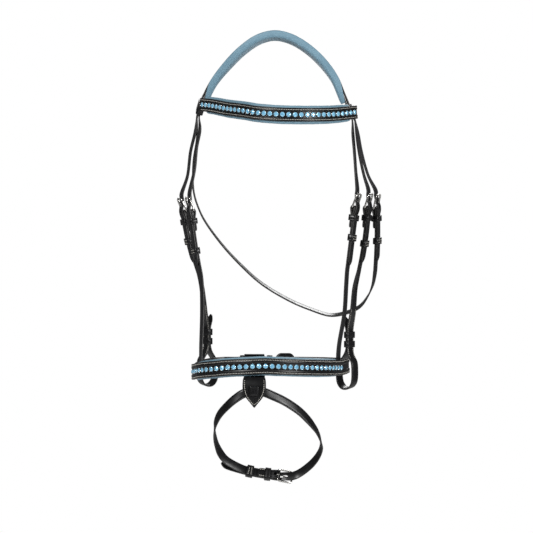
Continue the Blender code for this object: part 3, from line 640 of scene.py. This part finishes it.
def crown():
    """Poll padding that wraps the leather's edges, and the crown leather in it."""
    rows = crown_rows()
    ends = np.abs(np.linspace(-1, 1, len(rows)))
    half, lip, edge, top = 21.0, 17.6, -0.8, CROWN_LEVEL + CROWN_THICK / 2
    floor = PAD_BASE + PAD_GROOVE
    side = arc(half - 4.6, 4.6, 4.6, -90, 0, 8) + arc(half - 1.9, top - 1.9, 1.9, 0, 150, 8)
    profile = [(half - 12, -0.35), *side, (lip, floor + 0.3), (lip - 1, floor), (edge, floor),
               (edge, PAD_BASE), (-lip + 1, PAD_BASE), (-lip, PAD_BASE + 0.5)]
    profile += [(-x, y) for x, y in side[::-1]] + [(-half + 12, -0.35), (0, -0.6)]
    rings = []
    for i, (place, _, across, out) in enumerate(axes_along(rows)):
        narrow = 1 - 0.12 * ends[i]
        close = math.sqrt(min(1, (min(i, len(rows) - 1 - i) + 0.4) / 2.2))
        pucker = 0.06 * math.sin(i * 0.9) + 0.06 * math.sin(i * 0.37 + 1)
        ring = []
        sink = 4.5 * max(0.0, 1 - min(i, len(rows) - 1 - i) / 12)
        for x, y in profile:
            y = min(y, top - sink)
            skin = pucker * (abs(x) > 18) * (0.5 + 0.5 * math.sin(y))
            ring.append(place + across * (x * narrow * (0.9 + 0.1 * close) + math.copysign(skin, x))
                        + out * (top / 2 + (y - top / 2) * (0.82 + 0.18 * close)))
        rings.append(ring)
    pad = add_piece("crown_padding", Form().loft(rings), PADDING, "bridle", "poll_padding", sharp=75)
    rows = crown_rows(CROWN_BEYOND)
    shares = 1 - 0.12 * np.clip(np.abs(np.linspace(-1.15, 1.15, len(rows))), 0, 1)
    rows = [(*row, share) for row, share in zip(rows, shares)]
    section, edges = strap_section(CROWN_WIDTH_POLL, CROWN_THICK, CROWN_LEVEL)
    add_piece("crown_strap", Form().loft(swept(np.array(rows), section, width=CROWN_WIDTH_POLL), edges),
              LEATHER, "bridle", "crown_leather")
    seams = Form()
    for shift in (-12.2, 12.2):
        sew(seams, np.array(rows), shift, CROWN_LEVEL + CROWN_THICK / 2 + 0.02, (16, WHOLE), 3.2)
    add_piece("crown_stitching", seams, THREAD, "bridle")


def headstrap():
    """The noseband's headstrap over the poll, with a billet at each end."""
    over = [(*row, 1.0) for row in crown_line(HEADSTRAP_SHIFT, HEADSTRAP_LEVEL, HEADSTRAP_BEYOND)][::4]
    left, right = BUCKLES["noseband_left"], BUCKLES["noseband_right"]
    down_left = [(-102.6, 29, -121, -0.25, 0.95, 0), (-106.8, 23, -146, -0.25, 0.95, 0),
                 (-109.5, 18, -176, -0.25, 0.95, 0)]
    down_right = [(106.2, -11, -130, 0.25, 0.95, 0), (108, -13, -153, 0.25, 0.95, 0),
                  (109.8, -14.5, -180, 0.25, 0.95, 0)]
    rows = flipped(billet_end(left, BILLET_TIPS["noseband_left"]))[::-1] + sized(down_left[::-1]) + over
    rows += sized(down_right) + billet_end(right, BILLET_TIPS["noseband_right"])
    made, _ = strap("noseband_headstrap_leather", rows, STRAP_WIDTH, "bridle", "noseband_headstrap")
    billet_holes(made, "noseband_left", 1)
    billet_holes(made, "noseband_right", 3)


def billets():
    """The crown's lower ends, which its cheekpieces and throatlatch buckle to."""
    for name, node, side, route in (
        ("cheek_left", "cheek_billet_left", "left",
         [(-109, 32, -123), (-115.5, 35, -150), (-120, 38, -184)]),
        ("cheek_right", "cheek_billet_right", "right",
         [(111.5, -4, -127), (115, 1, -152), (121.8, 5.5, -184)]),
        ("throat", "throat_billet", "right",
         [(114, 13, -127), (119.3, 20, -152), (129, 27, -184)]),
    ):
        across = (0.25, -0.96, 0) if side == "left" else (0.25, 0.96, 0)
        shift = CROWN_SPLIT if name == "throat" else -CROWN_SPLIT
        rows = [crown_end(side, shift)] + [(*p, *across) for p in route]
        rows = sized(rows) + billet_end(BUCKLES[name], BILLET_TIPS[name])
        made, _ = strap(f"{node}_leather", rows, STRAP_WIDTH, "bridle", node)
        billet_holes(made, name, 2)


# ---------------------------------------------------------------- straps below the buckles

def bit_loop(top, toward, lean):
    """Rows down the front leg, round the bit's seat, up the back leg and out to the tip."""
    top, toward = Vector(top), Vector(toward).normalized()
    across = toward.cross(UP)
    wide, lay = BIT_LOOP_WIDE / 2, STRAP_THICK / 2 + GAP / 2
    leg = [(-lay, 26), (-lay, 12), (-lay, 0), (-lay - 2.5, -8), (-wide + 3, -19), (-wide, -32),
           (-wide + 0.3, -41), (-wide + 1.5, -46.5), (-wide + 3.7, -50.3), (-7.4, -53.4), (-3.5, -55)]
    line = leg + [(-u, z) for u, z in reversed(leg[2:])]
    line += [(lay, 10), (lay, 26), (lay + 3, 36), (lay + 5.4, 42), (lay + 6, 44)]
    sizes = [1.0] * (len(line) - 3) + [0.95, 0.45, 0.15]
    rows = []
    for (u, z), size in zip(line, sizes):
        low = min(max(-z / 32, 0), 1)
        tilt = UP * (0.3 * max(low - 0.4, 0) * math.copysign(1, across.y))
        rows.append((*(top + toward * (u + lean * low) + UP * z), *(across + tilt), size))
    return rows


def cheekpiece(name, side, top, toward, lean, route):
    loop = bit_loop(top, toward, lean)
    made, rows = strap(f"cheekpiece_{side}_leather", hanging_rows(name, route) + loop, STRAP_WIDTH,
                       "bridle", f"cheekpiece_{side}")
    prong_gap(made, name)
    place = Frame(Vector(top), (0, 0, 1), loop[-1][3:6])
    reach = STRAP_THICK + GAP / 2 + 0.4
    for label, start in (("lower", 2.0), ("upper", 15.0)):
        band = round_band(place, start, 9.0, STRAP_WIDTH + 1.3, -reach, reach)
        add_piece(f"bit_keeper_{label}_{side}_leather", Form().loft(band, closed=True), LEATHER, "bridle",
                  f"bit_keeper_{label}_{side}", sharp=60)
    seams = Form()
    run = np.linalg.norm(np.diff(rows[:, :3], axis=0), axis=1).sum()
    for shift in (-5.0, 5.0):
        sew(seams, rows, shift, STRAP_THICK / 2 + 0.04, (run - 235, run - 160), 2.8, 2.0, 0.6, 0.4)
    turn_stitches(name, seams)
    add_piece(f"cheekpiece_{side}_stitching", seams, THREAD, "bridle")


def straps():
    """The straps that hang from the five cheek buckles."""
    cheekpiece("cheek_left", "left", BIT_LEFT, (0.75, 0.66, 0), 0, [
        (-101.2, 53, -334, 0.45, -0.88, 0), (-98.8, 61, -354, 0.5, -0.85, 0),
        (-97, 69, -376, 0.6, -0.78, 0)])
    cheekpiece("cheek_right", "right", BIT_RIGHT, (-0.71, 0.70, 0), BIT_LEAN_RIGHT, [
        (111, 33, -338, 0.5, 0.86, 0), (108.7, 46, -370, 0.6, 0.8, 0)])
    for name, node, route in (
        ("noseband_left", "noseband_cheek_left", [
            (-99.2, 11, -336, 0.38, -0.92, 0), (-98.5, 7, -370, 0.38, -0.92, 0),
            (-100, 1, -420, 0.3, -0.95, 0), (-100.2, -2, -440, 0.25, -0.97, 0),
            (-100.2, -2, -461, 0.25, -0.97, 0)]),
        ("noseband_right", "noseband_cheek_right", [
            (96.8, -12, -337, 0.38, 0.92, 0), (94.8, -7, -372, 0.38, 0.92, 0),
            (88, 3, -415, 0.38, 0.92, 0), (86.9, 9, -436, 0.4, 0.9, 0),
            (86.9, 9, -456, 0.4, 0.9, 0)]),
        ("throat", "throatlatch", [
            (136.5, 50, -334, 0.25, 0.95, 0.1), (130.5, 59, -349, 0.1, 0.97, 0.2),
            (119, 69, -364.5, 0, 0.96, 0.28), (98, 79, -374, 0, 0.96, 0.28),
            (78, 82, -376.5, 0, 0.96, 0.28), (50, 81, -368, 0, 0.96, 0.28),
            (20, 79, -355, 0, 0.96, 0.28), (-18, 75, -332, 0, 0.96, 0.28),
            (-46, 70, -307, 0, 0.96, 0.25), (-72, 64, -279, 0, 0.97, 0.2),
            (-95.5, 57, -247, 0, 0.98, 0.15), (-103.8, 55, -231, 0, 0.99, 0.1),
            (-111.6, 52, -206, 0.03, 1, 0.05),
            (-112.4, 51, -165, 0, 1, 0), (-107, 48, -130, 0.05, 1, 0),
            flipped([crown_end("left", CROWN_SPLIT)])[0]]),
    ):
        made, _ = strap(f"{node}_leather", hanging_rows(name, sized(route)), STRAP_WIDTH, "bridle", node)
        prong_gap(made, name)
        seams = Form()
        turn_stitches(name, seams)
        add_piece(f"{node}_stitching", seams, THREAD, "bridle")


# ---------------------------------------------------------------- browband and noseband

BROWBAND = [
    (-101, 13.4, -87.2), (-95.5, 5.5, -88.4), (-86, -7, -90.4), (-76, -19.5, -93.2),
    (-64, -34.5, -96.7), (-52.4, -49, -99.3), (-40.1, -62, -101.9), (-26.4, -73, -105),
    (-10.2, -80.5, -107), (8, -84.5, -108.4), (26.6, -84.5, -108.8), (45, -79, -108.5),
    (62, -69.5, -107.6), (77, -58.5, -106.3), (89, -48, -104.6), (99, -38, -102.8),
    (106, -30, -101.4), (110.3, -24.8, -100.6),
]
NOSEBAND = [
    (-112, 14, -452.5), (-110.7, -0.6, -451.9), (-107.2, -17.6, -450.3), (-101.5, -33.4, -448.2),
    (-91.9, -47.7, -446.3), (-78.2, -58.6, -444.5), (-62.8, -66.8, -442.6), (-46.8, -73.2, -441.5),
    (-30, -77, -440.6), (-13.1, -77.6, -440.1), (3.5, -74.7, -440.8), (19.3, -68.9, -441.6),
    (34.9, -60.9, -442.5), (49.2, -50.8, -443.4), (62.1, -39, -444.3), (74.2, -25.5, -445),
    (83.6, -10.5, -445.7), (91, 5.2, -446.2), (97, 18, -445.5), (101.9, 31, -444.2),
]


def band_pad_section(height, thick, middle):
    """A pad's section: flat behind the leather, full and round at its edges and inner side."""
    w, t = height / 2, thick / 2
    half = [(0, middle - t - 0.3), (w - 6, middle - t), (w - 3.2, middle - t + 0.7),
            (w - 1.2, middle - t + 2.2), (w - 0.2, middle - 0.6), (w, middle + 0.9),
            (w - 0.4, middle + t - 1.4), (w - 1.4, middle + t - 0.35), (w - 2.6, middle + t),
            (0, middle + t)]
    return half + [(-x, y) for x, y in half[-2:0:-1]]


def gem(form, metal, middle, across, along, out, radius):
    """A faceted stone, whose edge shares paint it brighter at its girdle, in a cup with four claws."""
    def ring(form_radius, level, turn, count):
        return [middle + (across * math.cos(a) + along * math.sin(a)) * form_radius + out * level
                for a in (math.radians(turn + 360 / count * k) for k in range(count))]

    start = len(form.points)
    # The last number of each level is its share of the crystal's painted lighter rim, full at the girdle.
    levels = ((radius * 0.93, 0.0, 0, 1.0), (radius, 0.35, 11.25, 1.0), (radius * 0.78, 1.25, 0, 0.8),
              (radius * 0.42, 1.75, 11.25, 0.1))
    for wide, level, turn, share in levels:
        form.points += [tuple(p) for p in ring(wide, level, turn, 16)]
        form.edges += [share] * 16
    for i in range(len(levels) - 1):
        a, b = start + 16 * i, start + 16 * (i + 1)
        for k in range(16):
            m = (k + 1) % 16
            if i % 2 == 0:
                form.faces += [(a + k, a + m, b + k), (a + m, b + m, b + k)]
            else:
                form.faces += [(a + k, a + m, b + m), (a + k, b + m, b + k)]
    form.faces.append(tuple(range(start + 48, start + 64)))
    form.faces.append(tuple(range(start + 15, start - 1, -1)))
    rim = [(radius + 0.10, -0.4), (radius + 0.42, -0.4), (radius + 0.42, 0.45), (radius + 0.26, 0.68),
           (radius + 0.08, 0.5)]
    metal.loft([ring(r, z, 0, 20) for r, z in rim], closed=True)
    for turn in (45, 135, 225, 315):
        side = across * math.cos(math.radians(turn)) + along * math.sin(math.radians(turn))
        low, high = side * (radius + 0.4) + out * 0.3, side * (radius - 0.75) + out * 1.1
        capsule(metal, middle + low, middle + high, out, 0.8, 0.45)


def band(name, route, height, pad_height, pad_reach, row_reach, count):
    """A padded band: leather, pad behind it, stitching, and a row of crystals in cups."""
    rows = spaced([(*p, 0, 0, 1) for p in route], 1.8)
    section, edges = band_section(height, BAND_THICK)
    add_piece(f"{name}_strap", Form().loft(swept(rows, section), edges), LEATHER, "bridle",
              f"{name}_leather")
    seams = Form()
    for shift in (-height / 2 + 2.45, height / 2 - 2.45):
        sew(seams, rows, shift, BAND_THICK / 2 - 0.15, (3, WHOLE), 2.3, 1.6, 0.8, 0.6)
    add_piece(f"{name}_stitching", seams, THREAD, "bridle")
    total = len(rows)
    pad_rows = rows[int(pad_reach[0] * total):int(pad_reach[1] * total)]
    middle = -(BAND_THICK / 2 + 0.1 + BAND_PAD_THICK / 2)
    section = band_pad_section(pad_height, BAND_PAD_THICK, middle)
    rings = []
    for i, (place, _, across, out) in enumerate(axes_along(pad_rows)):
        close = math.sqrt(min(1, (min(i, len(pad_rows) - 1 - i) + 0.3) / 3))
        pucker = 1 + 0.003 * math.sin(i * 1.3) + 0.004 * math.sin(i * 0.5)
        pucker -= 0.08 * abs(2 * i / len(pad_rows) - 1) ** 3
        rings.append([place + across * (x * (0.86 + 0.14 * close) * pucker)
                      + out * (middle + (y - middle) * (0.55 + 0.45 * close)) for x, y in section])
    pad = add_piece(f"{name}_pad", Form().loft(rings), PADDING, "bridle", f"{name}_padding", sharp=75)
    found = axes_along(rows)
    stones, metal = Form(), Form()
    for share in np.linspace(*row_reach, count):
        at = share * (total - 1)
        low = int(at)
        place, along, across, out = found[low]
        place = place.lerp(found[min(low + 1, total - 1)][0], at - low)
        gem(stones, metal, place + out * (BAND_THICK / 2 - 0.35), across, along, out, 3.15)
    add_piece(f"{name}_stones", stones, CRYSTAL, "bridle", f"{name}_crystals", sharp=3)
    add_piece(f"{name}_cups", metal, STEEL, "bridle", sharp=40)


def bands():
    band("browband", BROWBAND, 18.0, 24.8, (0.04, 0.965), (0.022, 0.978), 33)
    band("noseband", NOSEBAND, 21.4, 25.6, (0.085, 0.89), (0.055, 0.905), 33)


def browband_loops():
    """The browband's folded ends, round the crown and the straps beside it."""
    rows = crown_rows()
    for side, end, sign in (("left", 0, -1), ("right", -1, 1)):
        place = Frame(rows[end][:3], crown_hang(rows, side), Vector(rows[end][3:6]) * sign)
        low = HEADSTRAP_LEVEL - STRAP_THICK / 2 - 0.7
        high = CROWN_LEVEL + CROWN_THICK / 2 + 0.7
        loop = round_band(place, LOOP_BEYOND, LOOP_HEIGHT, CROWN_WIDTH_END + 4.4, low, high, LOOP_WALL)
        add_piece(f"browband_loop_{side}_leather", Form().loft(loop, closed=True), LEATHER, "bridle",
                  f"browband_loop_{side}", sharp=60)


# ---------------------------------------------------------------- chin strap and flash

def noseband_back():
    """The two chin straps behind the jaw, and the leather guard under their buckle."""
    place = BUCKLES["chin"]
    left = [(-88, 66, -446), (-101, 49, -448), (-106.6, 31, -450), (-109.2, 14, -451.5),
            (-108.4, 5, -451.8)]
    rows = turned_over(place) + [place.row(s, STRAP_LEVEL) for s in (20, 44, 60, 68, 76)]
    made, _ = strap("chin_strap_left_leather", rows + sized([(*p, 0, 0, 1) for p in left]), CHIN_WIDTH,
                    "bridle", "chin_strap_left")
    prong_gap(made, "chin")
    right = [(96.1, 27, -444.5), (95, 40, -444.6), (86, 54, -445), (68, 67, -445), (46, 75, -445)]
    rows = sized([(*p, 0, 0, 1) for p in right]) + billet_end(place, BILLET_TIPS["chin"])
    made, _ = strap("chin_strap_right_leather", rows, CHIN_WIDTH, "bridle", "chin_strap_right")
    billet_holes(made, "chin", 1)
    guard = Frame(place.at(-8, 0, -9.2), (0, 0, 1), (-1, 0, 0))
    heights = [(-15, 0.5), (-14, 0.68), (-12, 0.85), (-7, 1), (0, 1), (7, 1), (12, 0.85), (14.5, 0.66),
               (15.5, 0.5)]
    section, edges = strap_section(28, 2.4)
    rows = spaced([guard.row(z, 0, size) for z, size in heights], 1.2)
    add_piece("chin_guard", Form().loft(swept(rows, section, width=28), edges), LEATHER, "bridle",
              "chin_buckle_guard")
    seams = Form()
    turn_stitches("chin", seams)
    add_piece("chin_stitching", seams, THREAD, "bridle")


FLASH_ROUTE = [  # from the left of the buckle, up over the nose, and down to the billet
    (-57, -40.5, -573, 0.3, 0.55, 0.78), (-66, -43.5, -566.5, 0.47, 0.62, 0.62),
    (-72.6, -47, -557.5, 0.56, 0.7, 0.43), (-77.6, -51, -545.3, 0.38, 0.92, 0.12),
    (-79.7, -56, -534.2, 0.2, 0.98, 0), (-80, -60, -525.8, 0, 1, 0),
    (-78.6, -64.5, -516.5, -0.32, 0.95, 0.1), (-73.1, -71, -504.4, -0.5, 0.75, 0.35),
    (-63, -77, -492.7, -0.5, 0.62, 0.6), (-52.4, -80.5, -483.2, -0.4, 0.4, 0.8),
    (-41.2, -82.5, -476, -0.2, 0.15, 0.97), (-27, -83, -472.5, 0, 0.05, 1),
    (-14.8, -82.5, -474, 0.2, 0.15, 0.97), (-3.6, -80, -478.6, 0.35, 0.3, 0.88),
    (10.9, -76, -485.5, 0.4, 0.43, 0.8), (23.5, -71.5, -493.4, 0.48, 0.5, 0.72),
    (33.5, -67.5, -501, 0.49, 0.6, 0.62), (42.8, -63.5, -510.3, 0.51, 0.7, 0.5),
    (50.2, -60, -519.2, 0.42, 0.84, 0.34), (56.3, -56.5, -528.1, 0.28, 0.94, 0.17),
    (61, -52, -539.5, 0.1, 1, 0), (62.3, -48.5, -549.5, -0.25, 0.97, 0.05),
    (58.5, -45, -560.5, -0.42, 0.87, 0.25), (50.5, -41, -571.6, -0.45, 0.73, 0.5),
    (39.5, -37.3, -581.5, -0.3, 0.62, 0.72), (30, -35, -587.6, -0.1, 0.55, 0.82),
]


def flash_strap():
    """One strap that goes round through the shield and back to its own buckle."""
    place = BUCKLES["flash"]
    rows = turned_over(place) + [place.row(s, STRAP_LEVEL) for s in (20, 40, 46)]
    rows += sized(FLASH_ROUTE) + billet_end(place, BILLET_TIPS["flash"])[1:]
    made, _ = strap("flash_strap_leather", rows, FLASH_WIDTH, "flash_loop", "flash_strap")
    prong_gap(made, "flash")
    billet_holes(made, "flash", 1)
    seams = Form()
    turn_stitches("flash", seams)
    add_piece("flash_stitching", seams, THREAD, "flash_loop")


def flash_tab():
    """The pointed shield under the noseband, and the tab that hooks up behind the padding."""
    across = (1, 0, 0)
    shield = [(-82.2, -455.2, 0.92), (-85.2, -459, 0.98), (-87.2, -465, 1), (-87.3, -472, 0.97),
              (-87.3, -478, 0.83), (-86.8, -483, 0.62), (-86, -489, 0.3), (-85, -494, 0.05)]
    front = spaced([(SHIELD_MIDDLE, y, z, *across, size) for y, z, size in shield], 1.0)
    lean = np.gradient(front[:, 1], front[:, 2])
    section, edges = strap_section(SHIELD_WIDTH, 2.4, crease=False)
    made = add_piece("flash_shield_leather", Form().loft(swept(front, section, width=SHIELD_WIDTH), edges),
                     LEATHER, "bridle", "flash_shield")
    slits = Form()
    for x in (-7.6, 7.6):
        slits.loft([[(SHIELD_MIDDLE + x + u, y, -472.2 + v) for u, v in
                     arc(0, 5.2, 0.8, 0, 180, 5) + arc(0, -5.2, 0.8, 180, 360, 5)] for y in (-92, -87.1)])
    carve(made, slits)
    back = [(-65.2, -425, 0.85), (-63.4, -430, 0.9), (-63.2, -450, 0.9), (-65, -456.6, 0.9),
            (-72, -459.4, 0.9), (-77, -462.6, 0.9), (-79, -467, 0.94), (-79, -472, 0.9),
            (-79, -478, 0.76), (-80, -484, 0.52), (-81.6, -490, 0.2), (-82.1, -492.5, 0.06)]
    rows = spaced([(SHIELD_MIDDLE, y, z, *across, size) for y, z, size in back], 1.2)
    section, edges = strap_section(SHIELD_WIDTH, 2.0, crease=False)
    add_piece("flash_tab_leather", Form().loft(swept(rows, section, width=SHIELD_WIDTH), edges), LEATHER,
              "bridle", "flash_tab_back")
    seams = Form()
    outline = [(-12.6, -457.5), (-12.8, -465), (-12.2, -472), (-9.9, -478.5), (-6.6, -483.8), (0, -490.3),
               (6.6, -483.8), (9.9, -478.5), (12.2, -472), (12.8, -465), (12.6, -457.5)]
    route = []
    for x, z in outline:
        y, slope = (np.interp(-z, -front[:, 2], values) for values in (front[:, 1], lean))
        route.append((SHIELD_MIDDLE + x, y - 1.35 * math.hypot(1, slope), z, 0, 0, 1))
    line = spaced(route, 1.0)
    run = np.concatenate([[0], np.cumsum(np.linalg.norm(np.diff(line[:, :3], axis=0), axis=1))])
    for k in range(int(run[-1] / 2.6)):
        a, b = ([np.interp(k * 2.6 + d, run, line[:, c]) for c in range(3)] for d in (0.3, 2.2))
        capsule(seams, a, b, Vector((0, -1, 0)), 0.75, 0.5)
    add_piece("flash_shield_stitching", seams, THREAD, "bridle")
    rings = []
    for inset, level in ((0, 0.2), (0, 1.7), (0.4, 2.3), (1.2, 2.7), (4, 2.9)):
        wide, high = 5.9 - inset, 6.3 - inset
        outline = []
        for cx, cz, first in ((wide, high, 0), (-wide, high, 90), (-wide, -high, 180), (wide, -high, 270)):
            outline += arc(cx - math.copysign(1.1, cx), cz - math.copysign(1.1, cz), 1.1,
                           first, first + 90, 5)
        rings.append([(SHIELD_MIDDLE + x, -88.0 - level, -472.2 + z) for x, z in outline])
    add_piece("flash_shield_block", Form().loft(rings), LEATHER, "bridle", sharp=60)


# ---------------------------------------------------------------- studio

def floor():
    look, tree, shader = new_material("studio_floor")
    shader.inputs["Roughness"].default_value = 0.9
    colour = blended(tree, noise(tree, 3), (0.86, 0.86, 0.86), (0.88, 0.88, 0.88))
    tree.links.new(colour, shader.inputs["Base Color"])
    mesh = bpy.data.meshes.new("floor")
    mesh.from_pydata([(-1.5, -1.5, 0), (1.5, -1.5, 0), (1.5, 1.5, 0), (-1.5, 1.5, 0)], [], [(0, 1, 2, 3)])
    mesh.materials.append(look)
    made = bpy.data.objects.new("floor", mesh)
    made.location = (0, 0, -1.0)
    bpy.context.scene.collection.objects.link(made)


def area_light(name, place, target, size, power):
    light = bpy.data.lights.new(name, "AREA")
    light.shape, light.size, light.energy = "DISK", size, power
    made = bpy.data.objects.new(name, light)
    made.location = place
    made.rotation_euler = (Vector(target) - Vector(place)).to_track_quat("-Z", "Y").to_euler()
    bpy.context.scene.collection.objects.link(made)


def studio():
    """White behind the bridle, dim all round it, soft lights, and the camera straight in front."""
    scene = bpy.context.scene
    scene.view_settings.view_transform = "Standard"
    world = bpy.data.worlds.new("studio")
    world.use_nodes = True
    tree = world.node_tree
    place = tree.nodes.new("ShaderNodeTexCoord")
    split = tree.nodes.new("ShaderNodeSeparateXYZ")
    tree.links.new(place.outputs["Generated"], split.inputs[0])
    backdrop = ramp(tree, split.outputs["Y"], 0, 1, 0.964, 0.979)
    colour = blended(tree, backdrop, (0.15, 0.15, 0.153), (1, 1, 1))
    tree.links.new(colour, tree.nodes["Background"].inputs["Color"])
    scene.world = world
    middle = (0, 0, -0.31)
    area_light("key", (-1.3, -1.9, 0.9), middle, 0.7, 44)
    area_light("fill", (1.7, -1.5, 0.1), middle, 0.7, 30)
    area_light("rim", (0.5, 1.8, 0.9), middle, 0.9, 16)
    camera = bpy.data.cameras.new("camera")
    camera.lens, camera.sensor_width = 129.13, 36.0
    camera.clip_end = 50
    made = bpy.data.objects.new("camera", camera)
    made.location = (-0.0109, -2.6, -0.3086)
    made.rotation_euler = (math.pi / 2, 0, 0)
    scene.collection.objects.link(made)
    scene.camera = made


crown()
headstrap()
billets()
straps()
bands()
browband_loops()
noseband_back()
flash_strap()
flash_tab()
for buckle_name in BUCKLES:
    buckle(buckle_name)
    keepers(buckle_name)
floor()
studio()
